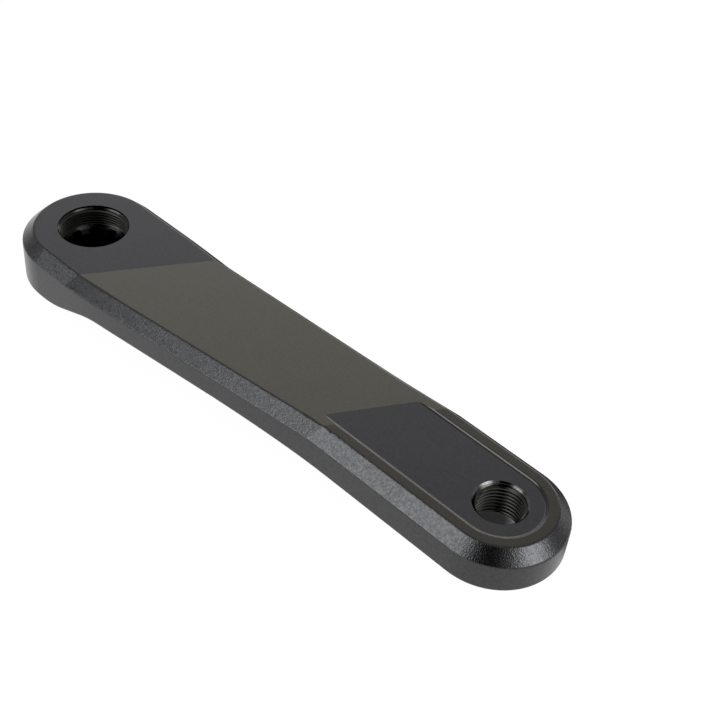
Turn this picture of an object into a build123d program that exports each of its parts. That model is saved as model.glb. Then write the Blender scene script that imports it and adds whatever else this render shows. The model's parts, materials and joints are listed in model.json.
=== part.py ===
from build123d import *
import math
import os

os.makedirs("parts", exist_ok=True)

# All sizes are in millimetres. The origin is the centre of the spindle socket's mouth.
# Z points away from the bicycle and X from the spindle axis to the pedal axis.

# Plan outline
CENTRE_DISTANCE = 170.0
HUB_END_RADIUS = 22.75
PEDAL_END_RADIUS = 19.0
TAPER_START_X = 27.0
TAPER_END_X = 120.0
TAPER_BLEND_RADIUS = 500.0

# Outer side: a level hub face, a rise, and a level pedal end with a shallow pocket
HUB_LENGTH = 23.0
FOLD_ANGLE = 60.0
RISE_ANGLE = 6.15
RISE_START = 24.5
PEDAL_FLOOR_HEIGHT = 8.95
POCKET_DEPTH = 0.5

# Pedal pocket. Its edge is a slope between two rounds, placed by the slope's middle
POCKET_HALF_WIDTH = 12.0
POCKET_EDGE_ANGLE = 45.0
POCKET_EDGE_LIFT = 0.03
POCKET_RUN = 85.0

# Edge treatment
EDGE_CHAMFER = 3.8
OUTER_EDGE_RADIUS = 1.2
WALL_EDGE_RADIUS = 0.8
INNER_EDGE_RADIUS = 1.0

# Inner side: how thick the bar is, measured down from the hub face
HUB_THICKNESS = 17.1
WAIST_THICKNESS = 10.4
TAIL_THICKNESS = 3.4
PLATEAU_END_X = 7.0
WAIST_X = 26.0
TAIL_X = 100.0
PLATEAU_BEND_RADIUS = 30.0
WAIST_BEND_RADIUS = 40.0
TAIL_BEND_RADIUS = 500.0

# Inner boss round the spindle socket
BOSS_RADIUS = 16.5
BOSS_EDGE_CHAMFER = 0.8
BOSS_ROOT_FILLET = 1.5

# Extractor thread, drawn at its major radius, below a plain lip and a cone
EXTRACTOR_RADIUS = 11.0
ENTRY_RADIUS = 11.45
ENTRY_LIP_DEPTH = 0.7
EXTRACTOR_FLOOR_DEPTH = 8.0

# Spindle socket: ten splines on a slight taper, widest at the boss face
SPLINE_COUNT = 10
TOOTH_RADIUS = 9.0
SPLINE_DEPTH = 1.35
GROOVE_WIDTH = 3.3
GROOVE_CORNER_BEVEL = 0.45
SOCKET_TAPER_ANGLE = 1.0
TOOTH_LEAD_EXCESS = 0.05
MOUTH_LEAD_IN = 1.0

# Pedal thread, drawn at its major radius
PEDAL_THREAD_RADIUS = 7.144
PEDAL_OUTER_BEVEL = 0.456
PEDAL_INNER_BEVEL = 0.7

# Levels above the boss face
RIM_LEVEL = HUB_LENGTH + PEDAL_FLOOR_HEIGHT + POCKET_DEPTH
POCKET_LEVEL = HUB_LENGTH + PEDAL_FLOOR_HEIGHT
PLATEAU_LEVEL = HUB_LENGTH - HUB_THICKNESS
TAIL_LEVEL = HUB_LENGTH - TAIL_THICKNESS
RISE_END = RISE_START + (RIM_LEVEL - HUB_LENGTH) / math.tan(math.radians(RISE_ANGLE))

# A distance that reaches past the arm on every side, and a small one past a face that is cut
REACH = 2 * CENTRE_DISTANCE
OVERSHOOT = 1.0

# How far apart places and slopes still count as the same when faces are picked
SAME_PLACE = 0.01
SAME_SLOPE = 0.1

PEDAL_PLANE = Plane(origin=(CENTRE_DISTANCE, 0, 0), x_dir=(1, 0, 0), z_dir=(0, -1, 0))
PEDAL_AXIS = Axis((CENTRE_DISTANCE, 0, 0), (0, 0, 1))

FOLD_SIN = math.sin(math.radians(FOLD_ANGLE))
FOLD_COS = math.cos(math.radians(FOLD_ANGLE))


def shared_edges(first_faces, second_faces):
    """Edges where a face of the first list meets a face of the second."""
    second = second_faces.edges()
    return ShapeList([edge for edge in first_faces.edges() if any(edge.is_same(other) for other in second)])


def boss_edges(arm):
    """Curved edges of the boss's side, from its face upward."""
    cylinders = arm.faces().filter_by(GeomType.CYLINDER)
    boss_side = cylinders.filter_by(lambda face: abs(face.radius - BOSS_RADIUS) < SAME_PLACE)
    curved = boss_side.edges().filter_by(lambda edge: edge.geom_type != GeomType.LINE)
    return curved.sort_by(Axis.Z)


def leaning_faces(solid, lean_angle):
    """Faces that lean by an angle from level, 0 for a level top and 90 for a wall."""
    leaning = math.cos(math.radians(lean_angle))
    return solid.faces().filter_by(lambda face: abs(face.normal_at().Z - leaning) < SAME_SLOPE)


def between_folds(start, end):
    """An upright block that holds everything from one distance across the folds to another."""
    slab = Box(end - start, 2 * REACH, 2 * REACH, align=(Align.MIN, Align.CENTER, Align.CENTER))
    return Pos(start * FOLD_SIN, -start * FOLD_COS, 0) * Rot(0, 0, FOLD_ANGLE - 90) * slab


# A bar with a level top at the hub face, its wide chamfer and its rounded outer edges
with BuildPart() as level_bar:
    with BuildSketch(Plane.XY.offset(-REACH)) as plan:
        with BuildLine():
            hub_end = CenterArc((0, 0), HUB_END_RADIUS, 90, 180)
            pedal_end = CenterArc((CENTRE_DISTANCE, 0), PEDAL_END_RADIUS, -90, 180)
            Polyline(hub_end @ 1, (TAPER_START_X, -HUB_END_RADIUS), (TAPER_END_X, -PEDAL_END_RADIUS), pedal_end @ 0)
            Polyline(hub_end @ 0, (TAPER_START_X, HUB_END_RADIUS), (TAPER_END_X, PEDAL_END_RADIUS), pedal_end @ 1)
        make_face()
        for kink_x in (TAPER_START_X, TAPER_END_X):
            kinks = plan.vertices().filter_by(lambda v: abs(v.X - kink_x) < SAME_PLACE)
            fillet(kinks, radius=TAPER_BLEND_RADIUS)
    extrude(amount=REACH + HUB_LENGTH)
    chamfer(level_bar.faces().sort_by(Axis.Z)[-1].edges(), EDGE_CHAMFER)
    fillet(level_bar.faces().sort_by(Axis.Z)[-1].edges(), OUTER_EDGE_RADIUS)
    wall_edge = shared_edges(leaning_faces(level_bar, 45), leaning_faces(level_bar, 90))
    fillet(wall_edge, WALL_EDGE_RADIUS)

# The same bar leaned along the fold direction makes the rise
slope = math.tan(math.radians(RISE_ANGLE))
lean = Matrix([[1, 0, 0, 0], [0, 1, 0, 0], [slope * FOLD_SIN, -slope * FOLD_COS, 1, -slope * RISE_START]])
leaning_bar = level_bar.part.transform_geometry(lean)
raised_bar = Pos(0, 0, RIM_LEVEL - HUB_LENGTH) * level_bar.part

hub_part = level_bar.part & between_folds(-REACH, RISE_START)
rise_part = leaning_bar & between_folds(RISE_START, RISE_END)
pedal_part = raised_bar & between_folds(RISE_END, REACH)

# The spindle socket's hollow, drawn as two sections of a slow taper
hub_floor = HUB_LENGTH - EXTRACTOR_FLOOR_DEPTH
socket_spread = hub_floor * math.tan(math.radians(SOCKET_TAPER_ANGLE))


def socket_section(level, tooth_radius):
    """The outline of the hollow between the spline teeth at one level."""
    with BuildSketch(Plane.XY.offset(level)) as section:
        Circle(tooth_radius)
        with PolarLocations(tooth_radius, SPLINE_COUNT):
            Rectangle(2 * SPLINE_DEPTH, GROOVE_WIDTH)
        groove_corners = section.vertices().filter_by(lambda v: math.hypot(v.X, v.Y) > tooth_radius + SPLINE_DEPTH / 2)
        chamfer(groove_corners, length=GROOVE_CORNER_BEVEL)
    return section.sketch


mouth_tooth_radius = TOOTH_RADIUS + socket_spread
with BuildPart() as socket_hollow:
    loft([socket_section(0, mouth_tooth_radius), socket_section(hub_floor, TOOTH_RADIUS)], ruled=True)


def pocket_section(plane):
    """Half of the pocket's section, with its sloping edge, drawn from the pocket's middle outward."""
    edge_turn = math.radians(POCKET_EDGE_ANGLE)
    edge_top = RIM_LEVEL + POCKET_EDGE_LIFT
    edge_radius = (edge_top - POCKET_LEVEL) / (2 * (1 - math.cos(edge_turn)))
    edge_run = edge_radius * math.sin(edge_turn)
    foot_x = POCKET_HALF_WIDTH - edge_run
    brow_x = POCKET_HALF_WIDTH + edge_run
    with BuildSketch(plane) as section:
        with BuildLine():
            CenterArc((foot_x, POCKET_LEVEL + edge_radius), edge_radius, -90, POCKET_EDGE_ANGLE)
            CenterArc((brow_x, edge_top - edge_radius), edge_radius, 90, POCKET_EDGE_ANGLE)
            Polyline(
                (brow_x, edge_top),
                (brow_x, edge_top + OVERSHOOT),
                (0, edge_top + OVERSHOOT),
                (0, POCKET_LEVEL),
                (foot_x, POCKET_LEVEL),
            )
        make_face()
    return section.sketch


# The pedal pocket's hollow: a round end and a straight run toward the hub
with BuildPart() as pocket_hollow:
    revolve(pocket_section(PEDAL_PLANE), axis=PEDAL_AXIS)
    across_the_arm = Plane(origin=(CENTRE_DISTANCE, 0, 0), x_dir=(0, 1, 0), z_dir=(1, 0, 0))
    extrude(pocket_section(across_the_arm), amount=POCKET_RUN, dir=(-1, 0, 0))
    mirror(about=Plane.XZ)

with BuildPart() as crank_arm:
    add([hub_part, rise_part, pedal_part])

    # The arched inner side, drawn along the arm
    with BuildSketch(Plane.XZ) as inner_profile:
        with BuildLine():
            Polyline(
                (-REACH, PLATEAU_LEVEL),
                (PLATEAU_END_X, PLATEAU_LEVEL),
                (WAIST_X, HUB_LENGTH - WAIST_THICKNESS),
                (TAIL_X, TAIL_LEVEL),
                (REACH, TAIL_LEVEL),
                (REACH, REACH),
                (-REACH, REACH),
                close=True,
            )
        make_face()
        for bend_x, bend_radius in (
            (PLATEAU_END_X, PLATEAU_BEND_RADIUS),
            (WAIST_X, WAIST_BEND_RADIUS),
            (TAIL_X, TAIL_BEND_RADIUS),
        ):
            bend = inner_profile.vertices().filter_by(lambda v: abs(v.X - bend_x) < SAME_PLACE)
            fillet(bend, radius=bend_radius)
    extrude(amount=REACH, both=True, mode=Mode.INTERSECT)

    inner = crank_arm.faces().filter_by(lambda face: face.normal_at().Z < -math.cos(math.radians(60)))
    fillet(shared_edges(inner, leaning_faces(crank_arm, 90)), INNER_EDGE_RADIUS)

    # The boss on the inner side
    with BuildSketch(Plane.XY):
        Circle(BOSS_RADIUS)
    extrude(amount=hub_floor)
    chamfer(boss_edges(crank_arm)[0], BOSS_EDGE_CHAMFER)
    fillet(boss_edges(crank_arm)[1:], BOSS_ROOT_FILLET)

    # The pedal pocket runs out where its floor meets the rise
    add(pocket_hollow.part, mode=Mode.SUBTRACT)

    # The pedal thread's hole, bevelled on both sides
    with BuildSketch(PEDAL_PLANE):
        with BuildLine():
            Polyline(
                (0, 0),
                (PEDAL_THREAD_RADIUS + PEDAL_INNER_BEVEL, 0),
                (PEDAL_THREAD_RADIUS + PEDAL_INNER_BEVEL, TAIL_LEVEL),
                (PEDAL_THREAD_RADIUS, TAIL_LEVEL + PEDAL_INNER_BEVEL),
                (PEDAL_THREAD_RADIUS, POCKET_LEVEL - PEDAL_OUTER_BEVEL),
                (PEDAL_THREAD_RADIUS + PEDAL_OUTER_BEVEL, POCKET_LEVEL),
                (PEDAL_THREAD_RADIUS + PEDAL_OUTER_BEVEL, RIM_LEVEL),
                (0, RIM_LEVEL),
                close=True,
            )
        make_face()
    revolve(axis=PEDAL_AXIS, mode=Mode.SUBTRACT)

    # The extractor thread's hole and the lead-in above the splines, turned about the spindle axis
    with BuildSketch(Plane.XZ) as spindle_profile:
        lip_level = HUB_LENGTH - ENTRY_LIP_DEPTH
        tooth_lead_in = SPLINE_DEPTH + TOOTH_LEAD_EXCESS
        lead_in_radius = TOOTH_RADIUS + tooth_lead_in
        with BuildLine():
            Polyline(
                (0, HUB_LENGTH + OVERSHOOT),
                (ENTRY_RADIUS, HUB_LENGTH + OVERSHOOT),
                (ENTRY_RADIUS, lip_level),
                (EXTRACTOR_RADIUS, lip_level - (ENTRY_RADIUS - EXTRACTOR_RADIUS)),
                (EXTRACTOR_RADIUS, hub_floor + (EXTRACTOR_RADIUS - lead_in_radius)),
                (lead_in_radius, hub_floor),
                (TOOTH_RADIUS, hub_floor - tooth_lead_in),
                (0, hub_floor - tooth_lead_in),
                close=True,
            )
        make_face()
    revolve(axis=Axis.Z, mode=Mode.SUBTRACT)

    # The splined socket and its lead-in at the boss face
    add(socket_hollow.part, mode=Mode.SUBTRACT)
    Cone(
        mouth_tooth_radius + MOUTH_LEAD_IN,
        mouth_tooth_radius,
        MOUTH_LEAD_IN,
        align=(Align.CENTER, Align.CENTER, Align.MIN),
        mode=Mode.SUBTRACT,
    )

crank_arm.part.label = "crank_arm"
export_step(crank_arm.part, "parts/crank_arm.step")
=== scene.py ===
"""The looks of a bicycle crank arm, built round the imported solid.

The solid keeps its own mesh and gets a procedural finish. The helical ridges of its two
threads are added here. Lengths are in metres, in the solid's own frame.
"""

import json
import math

import bpy
from mathutils import Matrix, Vector


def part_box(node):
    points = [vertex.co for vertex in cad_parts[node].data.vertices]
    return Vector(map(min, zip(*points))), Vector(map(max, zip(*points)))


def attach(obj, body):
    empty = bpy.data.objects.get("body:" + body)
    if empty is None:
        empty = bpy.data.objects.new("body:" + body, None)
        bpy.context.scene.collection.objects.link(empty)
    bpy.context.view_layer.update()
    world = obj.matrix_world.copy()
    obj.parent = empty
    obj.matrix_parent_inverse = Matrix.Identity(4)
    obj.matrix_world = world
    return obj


MM = 0.001

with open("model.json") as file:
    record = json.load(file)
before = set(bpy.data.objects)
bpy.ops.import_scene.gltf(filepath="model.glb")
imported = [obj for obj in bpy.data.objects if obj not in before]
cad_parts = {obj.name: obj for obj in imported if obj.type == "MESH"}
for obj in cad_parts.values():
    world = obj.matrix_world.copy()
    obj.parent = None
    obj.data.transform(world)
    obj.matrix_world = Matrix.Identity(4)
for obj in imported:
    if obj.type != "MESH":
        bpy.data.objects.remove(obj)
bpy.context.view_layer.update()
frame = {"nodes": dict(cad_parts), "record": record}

mounts = {mount["name"]: mount for mount in frame["record"]["mounts"]}
pedal_thread = mounts["pedal_thread"]
extractor_thread = mounts["extractor_thread"]
pedal_middle = Vector(pedal_thread["pos_m"])
spindle_middle = Vector(extractor_thread["pos_m"])
pocket_level = mounts["pedal_seat"]["pos_m"][2]
rim_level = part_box("crank_arm")[1].z
finish_slot = frame["record"]["materials"][0]["slot"]

# The threads: M22 x 1 for the extractor, 9/16 inch with 20 turns an inch for the pedal.
# A thread's depth and the width of its crest are shares of its pitch
INCH = 25.4 * MM
EXTRACTOR_PITCH = 1.0 * MM
PEDAL_PITCH = INCH / 20
THREAD_HALF_ANGLE = math.radians(30)
THREAD_DEPTH = 0.5413
THREAD_CREST = 0.25
RIGHT_HAND = 1
LEFT_HAND = -1
RIDGE_CORNERS = 4
SEGMENTS_A_TURN = 96
RIDGE_ROOTED_BY = 0.02 * MM

# Where each threaded hole's straight wall starts and ends, and the slope that the thread is
# cut back at beside both ends
EXTRACTOR_FOOT = 15.6 * MM
EXTRACTOR_WALL = (EXTRACTOR_FOOT, EXTRACTOR_FOOT + extractor_thread["dims"]["length_mm"] * MM)
PEDAL_FOOT = 20.3 * MM
PEDAL_BEVEL = 0.456 * MM
PEDAL_WALL = (PEDAL_FOOT, pocket_level - PEDAL_BEVEL)
CUT_BACK_SLOPE = math.tan(math.radians(40))

# Where the finish and its painted shade and highlights change. The holes and the pocket's edge lie
# within a distance of the line between the two axes, and the ledge is the step from the
# extractor's hole to the splined socket
INNER_HALF_WIDTH = 14.0 * MM
LEDGE_LEVEL = 15.0 * MM
SOCKET_HIGHLIGHT_WIDTH = 0.3 * MM
LEVEL_SLACK = 0.02 * MM

# A surface's turn is its normal's Z: 1 on a level top, 0.71 on the chamfer, 0 on an upright
# wall and -1 on the underside
LEVEL_TURN = 0.998
TOP_TURN = 0.99
UNDERSIDE_TURN = -0.5
FACE_TURNS = (0.90, 0.97)
CHAMFER_TURNS = (0.3, 0.6)

# The finish's colours, in linear red, green and blue
COOL_GREY = (0.074, 0.074, 0.078, 1)
WARM_GREY = (0.085, 0.082, 0.071, 1)
RIM_GREY = (0.079, 0.076, 0.066, 1)
CHAMFER_GREY = (0.064, 0.065, 0.068, 1)
WALL_GREY = (0.062, 0.061, 0.063, 1)
# Painted highlight: the pedal hole's countersink and walls are lighter and bluer than the faces,
# standing for bright reflections
COUNTERSINK_PAINTED_HIGHLIGHT = (0.122, 0.125, 0.134, 1)
# Painted shade: the extractor's hole is darker than the walls, and its foot darker still
BORE_PAINTED_SHADE = (0.040, 0.040, 0.039, 1)
FOOT_PAINTED_SHADE = (0.012, 0.012, 0.012, 1)
# Painted sheen: the pocket's edge is a dark grey seen face-on and a lighter one seen slanted
POCKET_EDGE_GREY = (0.055, 0.055, 0.054, 1)
SLANTED_EDGE_PAINTED_SHEEN = (0.095, 0.095, 0.092, 1)
# Painted shade: the splined socket and its ledge are near black, and the top edge of the socket's
# teeth has a painted highlight
SOCKET_PAINTED_SHADE = (0.0025, 0.0025, 0.0025, 1)
SOCKET_EDGE_PAINTED_HIGHLIGHT = (0.012, 0.012, 0.012, 1)
LEDGE_PAINTED_SHADE = (0.002, 0.002, 0.002, 1)
THREAD_GREY = (0.052, 0.052, 0.048, 1)

# How slanted the pocket's edge is seen where its painted sheen turns it to the lighter grey
SHEEN_SLANT_EDGES = (0.2, 0.5)

# The finish's roughness
FACE_ROUGHNESS = 0.28
CHAMFER_ROUGHNESS = 0.24
WALL_ROUGHNESS = 0.30
CUT_ROUGHNESS = 0.13
SOCKET_ROUGHNESS = 0.25
PEDAL_THREAD_ROUGHNESS = 0.16
EXTRACTOR_THREAD_ROUGHNESS = 0.30
THREAD_WEAR = 0.04

# The finish's grain. A contrast is how far the speckles go from the colour under them
GRAIN_SIZE = 0.4 * MM
GRAIN_DEPTH = 0.075 * MM
FINE_SIZE = 0.15 * MM
FINE_DEPTH = 0.003 * MM
SPECKLE_SIZE = 0.75 * MM
CHAMFER_CONTRAST = 0.65
WALL_CONTRAST = 0.36
FACE_CONTRAST = 0.16
CLOUD_SIZE = 14 * MM
CLOUD_LIGHTNESS = (0.95, 1.05)
CLOUD_ROUGHNESS = (-0.02, 0.02)

# The floor. Its shown colour is what the shadow keeps where the glow is gone
WHITE = (1, 1, 1, 1)
FLOOR_HALF_WIDTH = 3.0
FLOOR_COLOUR = (0.8, 0.8, 0.8, 1)
FLOOR_SHOWN_COLOUR = (0.04, 0.04, 0.04, 1)
FLOOR_GLOW = 0.98

# The painted shadow's core lies under the arm's far half and shows through the pedal's hole. The
# floor under and behind the arm is painted dark only in what the arm mirrors
CORE_OFFSET = (-14 * MM, 18 * MM, 0)
CORE_EDGES = (5 * MM, 20 * MM)
UNDER_EDGES = (15 * MM, 21 * MM)
BEHIND_SIDES = (22 * MM, 32 * MM, 110 * MM, 170 * MM)
BEHIND_ENDS = (-80 * MM, -40 * MM, 185 * MM, 215 * MM)
BEHIND_SHARE = 0.98

# The studio. Azimuths are from +Y towards -X, counted from the seam on, and elevations from
# level, in degrees. Of four edges the middle two bound the full strength and the outer two
# bound its fading
AZIMUTH_SEAM = math.radians(-30)
WALL_SIDES = (-5, 45, 58, 72)
CEILING_EDGES = (26, 64)
WALL_LIGHT = 1.04
ROOM_LIGHT = 0.48
CEILING_LIGHT = 0.36
CORNER_SIDES = (176, 194, 226, 244)
CORNER_HEIGHTS = (5, 20, 74, 88)
SIDE_BOX_SIDES = (251, 273, 286, 308)
SIDE_BOX_HEIGHTS = (5, 15, 42, 58)
SIDE_BOX_LIGHT = 4.6

# A strip light rises in front of the arm. Its sides and ends are in a direction's X and Y. Its
# foot, low down in front and mirrored low down behind, is in degrees of elevation
STRIP_SIDES = (-0.67, -0.49, -0.21, 0.03)
STRIP_ENDS = (-1.2, -1.1, -0.45, -0.25)
STRIP_LIGHT = 2.8
STRIP_FOOT = (-8, 2, 14, 26)
STRIP_FOOT_LIGHT = 0.8

# The camera, from a fit of the photograph's outline. Lens and sensor are in millimetres
CAMERA_PLACE = Vector((281.8 * MM, -195.1 * MM, 272.8 * MM))
CAMERA_AZIMUTH = math.radians(-39.98)
CAMERA_ELEVATION = math.radians(41.76)
CAMERA_ROLL = math.radians(6.236)
SENSOR_WIDTH = 36.0
LENS = 63.70


class Nodes:
    """Adds nodes to a material's or world's tree, each joined to its inputs."""

    def __init__(self, owner):
        owner.use_nodes = True
        self.tree = owner.node_tree
        self.tree.nodes.clear()

    def add(self, kind, inputs=None, **settings):
        """A node with its settings made and its inputs set or linked, by name or place."""
        node = self.tree.nodes.new(kind)
        for name, value in settings.items():
            setattr(node, name, value)
        for name, value in (inputs or {}).items():
            if isinstance(value, bpy.types.NodeSocket):
                self.tree.links.new(value, node.inputs[name])
            else:
                node.inputs[name].default_value = value
        return node

    def math(self, operation, *values):
        """The output of a math node."""
        return self.add("ShaderNodeMath", dict(enumerate(values)), operation=operation).outputs[0]

    def above(self, value, level):
        """1 where value is over the level, else 0."""
        return self.math("GREATER_THAN", value, level)

    def below(self, value, level):
        """1 where value is under the level, else 0."""
        return self.math("LESS_THAN", value, level)

    def both(self, first, second):
        """1 where both are 1, and their product between."""
        return self.math("MULTIPLY", first, second)

    def rest(self, share):
        """What a share leaves of 1."""
        return self.math("SUBTRACT", 1.0, share)

    def ramp(self, value, low, high):
        """0 where value is at or under low, 1 at or over high, smooth between them."""
        places = {"Value": value, "From Min": low, "From Max": high}
        return self.add("ShaderNodeMapRange", places, interpolation_type="SMOOTHSTEP").outputs[0]

    def window(self, value, edges):
        """1 between the middle two edges and 0 outside the outer two."""
        starts, full, fades, ends = edges
        rise = self.ramp(value, starts, full)
        fall = self.ramp(value, fades, ends)
        return self.both(rise, self.rest(fall))

    def mix(self, share, first, second):
        """The second value's share mixed into the first, for numbers."""
        inputs = {0: share, 2: first, 3: second}
        return self.add("ShaderNodeMix", inputs, data_type="FLOAT").outputs[0]

    def mix_colour(self, share, first, second):
        """The second colour's share mixed into the first."""
        inputs = {0: share, 6: first, 7: second}
        return self.add("ShaderNodeMix", inputs, data_type="RGBA").outputs[2]

    def noise(self, place, size, detail=2.0):
        """A noise from 0 to 1 with spots of about that size."""
        inputs = {"Vector": place, "Scale": 1 / size, "Detail": detail}
        return self.add("ShaderNodeTexNoise", inputs).outputs["Fac"]

    def place(self):
        """The place on the object, in its own frame."""
        return self.add("ShaderNodeTexCoord").outputs["Object"]

    def parts(self, vector):
        """A vector's X, Y and Z."""
        return self.add("ShaderNodeSeparateXYZ", {0: vector}).outputs


def axis_distance(nodes, place):
    """The distance in plan from the line between the two holes' axes."""
    x, y, _ = nodes.parts(place)
    past_pedal = nodes.math("MAXIMUM", nodes.math("SUBTRACT", x, pedal_middle.x), 0.0)
    past_spindle = nodes.math("MINIMUM", nodes.math("SUBTRACT", x, spindle_middle.x), 0.0)
    along = nodes.math("ADD", past_pedal, past_spindle)
    offset = nodes.add("ShaderNodeCombineXYZ", {0: along, 1: y}).outputs[0]
    return nodes.add("ShaderNodeVectorMath", {0: offset}, operation="LENGTH").outputs["Value"]


def find_surfaces(nodes, place):
    """The arm's kinds of surface by name, each 1 where it is and 0 elsewhere."""
    up = nodes.parts(nodes.add("ShaderNodeNewGeometry").outputs["Normal"])[2]
    length, _, height = nodes.parts(place)
    inside = nodes.below(axis_distance(nodes, place), INNER_HALF_WIDTH)
    over_underside = nodes.above(up, UNDERSIDE_TURN)
    cut = nodes.both(inside, nodes.both(over_underside, nodes.below(up, TOP_TURN)))
    low = nodes.both(inside, nodes.below(height, LEDGE_LEVEL + LEVEL_SLACK))
    face = nodes.ramp(up, *FACE_TURNS)
    slope = nodes.math("SUBTRACT", nodes.ramp(up, *CHAMFER_TURNS), face)
    return {
        "face": face,
        "level face": nodes.above(up, LEVEL_TURN),
        "under rim": nodes.below(height, (rim_level + pocket_level) / 2),
        "chamfer": nodes.both(slope, nodes.rest(cut)),
        # The masks from here on also place the painted shade and painted highlights of the holes
        # and the socket
        "cut": cut,
        "pedal's side": nodes.above(length, pedal_middle.x / 2),
        "pocket edge": nodes.both(cut, nodes.above(height, pocket_level + LEVEL_SLACK)),
        "extractor's foot": nodes.both(cut, nodes.below(height, EXTRACTOR_FOOT)),
        "socket": nodes.both(low, over_underside),
        "socket's edge": nodes.above(height, LEDGE_LEVEL - SOCKET_HIGHLIGHT_WIDTH),
    }


def mix_greys(nodes, on):
    """The grey of each kind of surface: two tones of the faces, and painted shade and painted
    highlights on the inner ones.
    """
    level_grey = nodes.mix_colour(on["under rim"], RIM_GREY, COOL_GREY)
    face_grey = nodes.mix_colour(on["level face"], WARM_GREY, level_grey)
    # Painted shade in the extractor's hole and painted highlight in the pedal's hole
    holes_painted_shade_and_highlight = nodes.mix_colour(on["pedal's side"], BORE_PAINTED_SHADE, COUNTERSINK_PAINTED_HIGHLIGHT)
    # Painted sheen: the pocket's edge turns lighter the more slanted it is seen
    painted_sheen_share = nodes.ramp(nodes.add("ShaderNodeLayerWeight").outputs["Facing"], *SHEEN_SLANT_EDGES)
    pocket_edge_painted_sheen = nodes.mix_colour(painted_sheen_share, POCKET_EDGE_GREY, SLANTED_EDGE_PAINTED_SHEEN)
    # Painted shade in the socket and on its ledge, and a painted highlight along the teeth's top
    # edge
    socket_painted_shade_and_highlight = nodes.mix_colour(on["socket's edge"], SOCKET_PAINTED_SHADE, SOCKET_EDGE_PAINTED_HIGHLIGHT)
    socket_painted_shade_and_highlight = nodes.mix_colour(on["face"], socket_painted_shade_and_highlight, LEDGE_PAINTED_SHADE)

    grey = nodes.mix_colour(on["chamfer"], WALL_GREY, CHAMFER_GREY)
    grey = nodes.mix_colour(on["face"], grey, face_grey)
    grey = nodes.mix_colour(on["cut"], grey, holes_painted_shade_and_highlight)
    grey = nodes.mix_colour(on["pocket edge"], grey, pocket_edge_painted_sheen)
    # Painted shade at the extractor's foot
    grey = nodes.mix_colour(on["extractor's foot"], grey, FOOT_PAINTED_SHADE)
    return nodes.mix_colour(on["socket"], grey, socket_painted_shade_and_highlight)


def mix_lightness(nodes, on, place, clouds):
    """How far speckles and wide clouds lighten or darken the grey. 1 leaves it as it is."""
    contrast = nodes.mix(on["chamfer"], WALL_CONTRAST, CHAMFER_CONTRAST)
    contrast = nodes.mix(on["face"], contrast, FACE_CONTRAST)
    spots = nodes.math("MULTIPLY", nodes.noise(place, SPECKLE_SIZE), 2.0)
    speckle = nodes.math("MULTIPLY", nodes.math("SUBTRACT", spots, 1.0), contrast)
    return nodes.math("ADD", nodes.mix(clouds, *CLOUD_LIGHTNESS), speckle)


def mix_roughness(nodes, on, clouds):
    """The roughness of each kind of surface, varied by the wide clouds."""
    roughness = nodes.mix(on["chamfer"], WALL_ROUGHNESS, CHAMFER_ROUGHNESS)
    roughness = nodes.mix(on["face"], roughness, FACE_ROUGHNESS)
    roughness = nodes.mix(on["cut"], roughness, CUT_ROUGHNESS)
    roughness = nodes.mix(on["socket"], roughness, SOCKET_ROUGHNESS)
    return nodes.math("ADD", roughness, nodes.mix(clouds, *CLOUD_ROUGHNESS))


def add_grain(nodes, on, place):
    """The normal of the blasted surface: a fine grain all over and a coarse one on the chamfer."""
    fine = {"Height": nodes.noise(place, FINE_SIZE), "Distance": FINE_DEPTH}
    coarse = {
        "Height": nodes.noise(place, GRAIN_SIZE),
        "Distance": GRAIN_DEPTH,
        "Strength": on["chamfer"],
        "Normal": nodes.add("ShaderNodeBump", fine).outputs[0],
    }
    return nodes.add("ShaderNodeBump", coarse).outputs[0]


def finish_metal(nodes, inputs):
    """Ends the tree in a metal surface with those inputs."""
    surface = nodes.add("ShaderNodeBsdfPrincipled", {"Metallic": 1.0, **inputs}).outputs[0]
    nodes.add("ShaderNodeOutputMaterial", {"Surface": surface})


def anodised_finish():
    """Dark grey anodising: smooth faces, two tones of them, grainy chamfers and satin walls."""
    material = bpy.data.materials.new(finish_slot)
    nodes = Nodes(material)
    place = nodes.place()
    on = find_surfaces(nodes, place)
    clouds = nodes.noise(place, CLOUD_SIZE, detail=3.0)
    tint = {"Value": mix_lightness(nodes, on, place, clouds), "Color": mix_greys(nodes, on)}
    inputs = {
        "Base Color": nodes.add("ShaderNodeHueSaturation", tint).outputs[0],
        "Roughness": mix_roughness(nodes, on, clouds),
        "Normal": add_grain(nodes, on, place),
    }
    finish_metal(nodes, inputs)
    return material


def thread_finish(name, middling):
    """A thread's cut metal, darkened by the anodising, about as rough as middling says."""
    material = bpy.data.materials.new(name)
    nodes = Nodes(material)
    wear = nodes.noise(nodes.place(), GRAIN_SIZE)
    roughness = nodes.mix(wear, middling - THREAD_WEAR, middling + THREAD_WEAR)
    finish_metal(nodes, {"Base Color": THREAD_GREY, "Roughness": roughness})
    return material


def ridge_section(radius, pitch):
    """The ridge's corners as (radius, height), from its lower root to its upper one."""
    depth = THREAD_DEPTH * pitch
    crest = THREAD_CREST * pitch / 2
    root = crest + (depth + RIDGE_ROOTED_BY) * math.tan(THREAD_HALF_ANGLE)
    outside = radius + RIDGE_ROOTED_BY
    return [(outside, -root), (radius - depth, -crest), (radius - depth, crest), (outside, root)]


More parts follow.
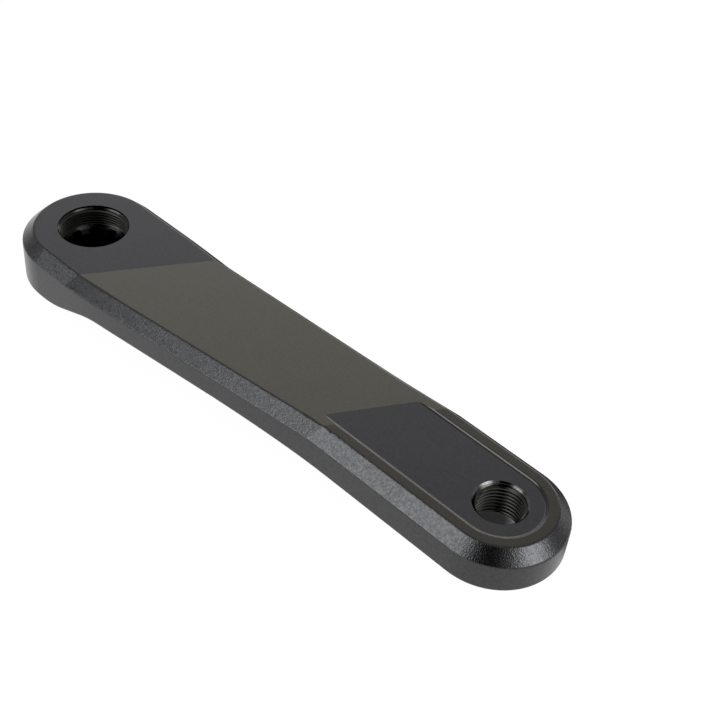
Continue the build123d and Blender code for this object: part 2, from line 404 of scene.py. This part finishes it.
def ridge_points(middle, radius, pitch, wall, hand):
    """The corners of the ridge's sections up the helix, cut back by a cone at each end."""
    bottom, top = wall
    section = ridge_section(radius, pitch)
    steps = round((top - bottom) / pitch * SEGMENTS_A_TURN)
    points = []
    for step in range(steps + 1):
        angle = hand * math.tau * step / SEGMENTS_A_TURN
        for out, rise in section:
            height = bottom + pitch * step / SEGMENTS_A_TURN + rise
            from_end = min(top - height, height - bottom)
            reach = max(out, radius + RIDGE_ROOTED_BY - from_end * CUT_BACK_SLOPE)
            x = middle.x + reach * math.cos(angle)
            y = middle.y + reach * math.sin(angle)
            points.append((x, y, height))
    return points


def ridge_faces(last_section, hand):
    """The sides between neighbouring sections, and a cap on the first and the last section."""
    faces = []
    for start in range(0, last_section, RIDGE_CORNERS):
        for corner in range(RIDGE_CORNERS):
            low = start + corner
            after = start + (corner + 1) % RIDGE_CORNERS
            side = [low, after, after + RIDGE_CORNERS, low + RIDGE_CORNERS]
            faces.append(side[::hand])
    first_cap = list(range(RIDGE_CORNERS))
    last_cap = [last_section + corner for corner in first_cap]
    return faces + [first_cap[::-hand], last_cap[::hand]]


def add_thread(name, mount, pitch, wall, hand, finish):
    """A helical ridge in an upright threaded hole."""
    radius = mount["dims"]["r_mm"] * MM
    points = ridge_points(Vector(mount["pos_m"]), radius, pitch, wall, hand)
    faces = ridge_faces(len(points) - RIDGE_CORNERS, hand)
    mesh = bpy.data.meshes.new(name)
    mesh.from_pydata(points, [], faces)
    mesh.shade_smooth()
    mesh.set_sharp_from_angle(angle=THREAD_HALF_ANGLE / 2)
    mesh.materials.append(finish)
    ridge = bpy.data.objects.new(name, mesh)
    bpy.context.scene.collection.objects.link(ridge)
    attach(ridge, "root")


def add_threads():
    """The extractor's right-hand thread and the pedal's left-hand one."""
    finish = thread_finish("extractor_thread", EXTRACTOR_THREAD_ROUGHNESS)
    name = "extractor_thread_ridge"
    add_thread(name, extractor_thread, EXTRACTOR_PITCH, EXTRACTOR_WALL, RIGHT_HAND, finish)
    finish = thread_finish("pedal_thread", PEDAL_THREAD_ROUGHNESS)
    name = "pedal_thread_ridge"
    add_thread(name, pedal_thread, PEDAL_PITCH, PEDAL_WALL, LEFT_HAND, finish)


def floor_glow(nodes, mirrored):
    """How strongly the floor glows: evenly, but for the painted shadow's core and the painted
    darker parts that only a mirrored ray sees."""
    place = nodes.place()
    x, y, _ = nodes.parts(place)
    offset = {0: place, 1: CORE_OFFSET}
    from_core = nodes.add("ShaderNodeVectorMath", offset, operation="SUBTRACT").outputs[0]
    outside_core = nodes.ramp(axis_distance(nodes, from_core), *CORE_EDGES)
    outside_arm = nodes.ramp(axis_distance(nodes, place), *UNDER_EDGES)
    behind = nodes.both(nodes.window(y, BEHIND_SIDES), nodes.window(x, BEHIND_ENDS))
    not_behind = nodes.mix(behind, 1.0, 1 - BEHIND_SHARE)
    in_mirror = nodes.mix(mirrored, 1.0, nodes.both(outside_arm, not_behind))
    return nodes.math("MULTIPLY", nodes.both(outside_core, in_mirror), FLOOR_GLOW)


def floor_material():
    """Pale where it lights the arm, and a white glow with a painted shadow of the arm where it is
    seen.
    """
    material = bpy.data.materials.new("floor")
    nodes = Nodes(material)
    path = nodes.add("ShaderNodeLightPath").outputs
    mirrored = path["Is Glossy Ray"]
    seen = nodes.math("MAXIMUM", path["Is Camera Ray"], mirrored)
    seen = nodes.math("MAXIMUM", seen, path["Is Transmission Ray"])
    lit = nodes.add("ShaderNodeBsdfDiffuse", {"Color": FLOOR_COLOUR}).outputs[0]
    faint = nodes.add("ShaderNodeBsdfDiffuse", {"Color": FLOOR_SHOWN_COLOUR}).outputs[0]
    strength = floor_glow(nodes, mirrored)
    glow = nodes.add("ShaderNodeEmission", {"Strength": strength}).outputs[0]
    shown = nodes.add("ShaderNodeAddShader", {0: glow, 1: faint}).outputs[0]
    surface = nodes.add("ShaderNodeMixShader", {0: seen, 1: lit, 2: shown}).outputs[0]
    nodes.add("ShaderNodeOutputMaterial", {"Surface": surface})
    return material


def add_floor():
    """A plain square floor at the boss's face."""
    half = FLOOR_HALF_WIDTH
    corners = [(-half, -half, 0), (half, -half, 0), (half, half, 0), (-half, half, 0)]
    mesh = bpy.data.meshes.new("floor")
    mesh.from_pydata(corners, [], [(0, 1, 2, 3)])
    mesh.materials.append(floor_material())
    floor = bpy.data.objects.new("floor", mesh)
    bpy.context.scene.collection.objects.link(floor)


def studio_light(nodes):
    """The light from each direction: a room with a pale wall behind the arm, a dim ceiling and
    a dark corner, and in it a strip light with its foot and a side box."""
    toward = nodes.add("ShaderNodeTexCoord").outputs["Generated"]
    x, y, z = nodes.parts(toward)
    azimuth = nodes.math("ARCTAN2", nodes.math("MULTIPLY", x, -1.0), y)
    azimuth = nodes.math("WRAP", azimuth, math.tau + AZIMUTH_SEAM, AZIMUTH_SEAM)
    azimuth = nodes.math("DEGREES", azimuth)
    elevation = nodes.math("DEGREES", nodes.math("ARCSINE", z))

    wall = nodes.mix(nodes.window(azimuth, WALL_SIDES), ROOM_LIGHT, WALL_LIGHT)
    light = nodes.mix(nodes.ramp(elevation, *CEILING_EDGES), wall, CEILING_LIGHT)
    corner_sides = nodes.window(azimuth, CORNER_SIDES)
    corner = nodes.both(corner_sides, nodes.window(elevation, CORNER_HEIGHTS))
    light = nodes.math("MULTIPLY", light, nodes.rest(corner))
    lamps = (
        (x, STRIP_SIDES, y, STRIP_ENDS, STRIP_LIGHT),
        (x, STRIP_SIDES, elevation, STRIP_FOOT, STRIP_FOOT_LIGHT),
        (azimuth, SIDE_BOX_SIDES, elevation, SIDE_BOX_HEIGHTS, SIDE_BOX_LIGHT),
    )
    for across, sides, along, ends, strength in lamps:
        shape = nodes.both(nodes.window(across, sides), nodes.window(along, ends))
        light = nodes.math("ADD", light, nodes.math("MULTIPLY", shape, strength))
    return light


def add_world():
    """The studio's light for the arm, and plain white for the camera."""
    world = bpy.data.worlds.new("studio")
    bpy.context.scene.world = world
    nodes = Nodes(world)
    seen = nodes.add("ShaderNodeLightPath").outputs["Is Camera Ray"]
    sky = {"Color": WHITE, "Strength": nodes.mix(seen, studio_light(nodes), 1.0)}
    background = nodes.add("ShaderNodeBackground", sky).outputs[0]
    nodes.add("ShaderNodeOutputWorld", {"Surface": background})


def add_camera():
    """The camera at the photograph's place, with its turn and roll."""
    level_reach = math.cos(CAMERA_ELEVATION)
    ahead_x = level_reach * math.sin(CAMERA_AZIMUTH)
    ahead_y = level_reach * math.cos(CAMERA_AZIMUTH)
    ahead = Vector((ahead_x, ahead_y, -math.sin(CAMERA_ELEVATION)))
    level_right = ahead.cross(Vector((0, 0, 1))).normalized()
    level_up = level_right.cross(ahead)
    right = math.cos(CAMERA_ROLL) * level_right + math.sin(CAMERA_ROLL) * level_up
    up = right.cross(ahead)
    data = bpy.data.cameras.new("camera")
    data.sensor_width = SENSOR_WIDTH
    data.lens = LENS
    camera = bpy.data.objects.new("camera", data)
    bpy.context.scene.collection.objects.link(camera)
    turned = Matrix((right, up, -ahead)).transposed().to_4x4()
    camera.matrix_world = Matrix.Translation(CAMERA_PLACE) @ turned
    bpy.context.scene.camera = camera


arm = frame["nodes"]["crank_arm"]
arm.data.materials.clear()
arm.data.materials.append(anodised_finish())
add_threads()
add_floor()
add_world()
add_camera()
bpy.context.scene.view_settings.view_transform = "Standard"
